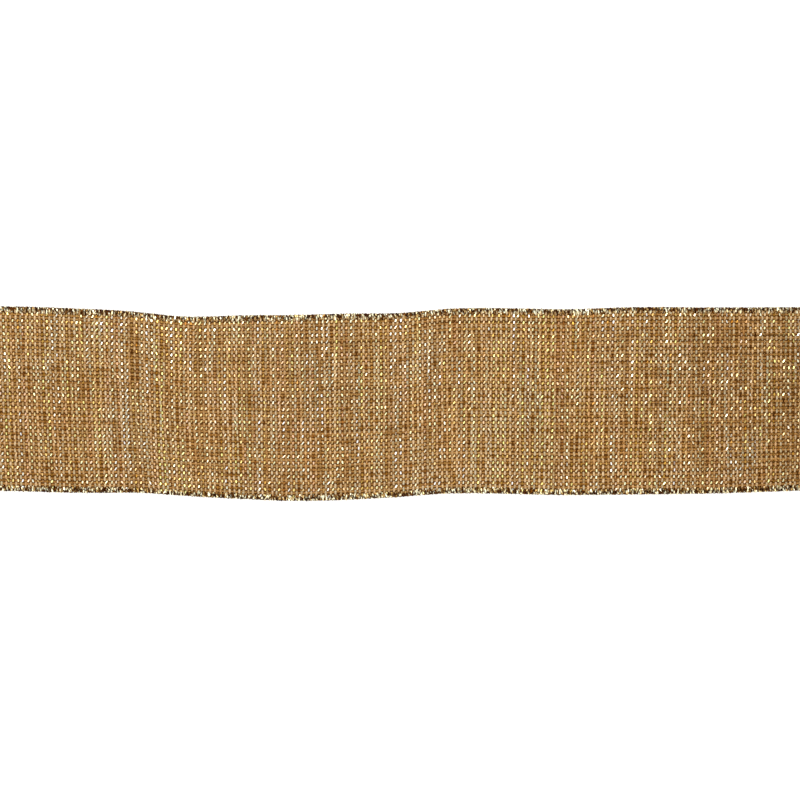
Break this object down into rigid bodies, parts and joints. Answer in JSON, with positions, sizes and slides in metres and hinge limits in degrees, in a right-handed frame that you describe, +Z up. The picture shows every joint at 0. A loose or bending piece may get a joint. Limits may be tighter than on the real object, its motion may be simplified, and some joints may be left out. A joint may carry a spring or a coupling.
{
  "type": "ribbon spool",
  "caption": "Wide wire-edged ribbon with a burlap-look metallic weave, wound on a two-flange board spool that turns freely, with its free end drawn out flat.",
  "frame": {"origin": "on the ground, under the middle of the whole object's box", "axes": "+Z up, +X along the ribbon from its cut end towards the spool, +Y across the ribbon along the spool's axis, towards the rear flange"},
  "size_m": [0.4337, 0.0724, 0.12],
  "materials": {
    "ribbon_weave": "burlap-look plain weave of tan yarn and metallic tinsel",
    "border_tinsel": "pale gold and silver tinsel overlock",
    "edge_wire": "satin",
    "grey_board": "matte",
    "face_paper": "satin",
    "tube_paper": "matte",
    "hub_plastic": "satin",
    "tape": "satin",
    "label_paper": "satin"
  },
  "bodies": {
    "ribbon": {"ribbon_cloth": "ribbon_weave", "front_border": "border_tinsel", "rear_border": "border_tinsel", "front_edge_wire": "edge_wire", "rear_edge_wire": "edge_wire"},
    "spool": {"wound_cloth": "ribbon_weave", "front_wound_border": "border_tinsel", "rear_wound_border": "border_tinsel", "core_tube": "tube_paper", "anchor_tape": "tape", "front_flange": "grey_board", "rear_flange": "grey_board", "front_face_paper": "face_paper", "rear_face_paper": "face_paper", "front_hub_cap": "hub_plastic", "rear_hub_cap": "hub_plastic", "blank_label": "label_paper"}
  },
  "joints": [
    {"name": "spool_spin", "type": "hinge", "parent": "ribbon", "child": "spool", "pos_m": [0.1568, 0, 0.06], "axis": [0, 1, 0], "continuous": true}
  ]
}
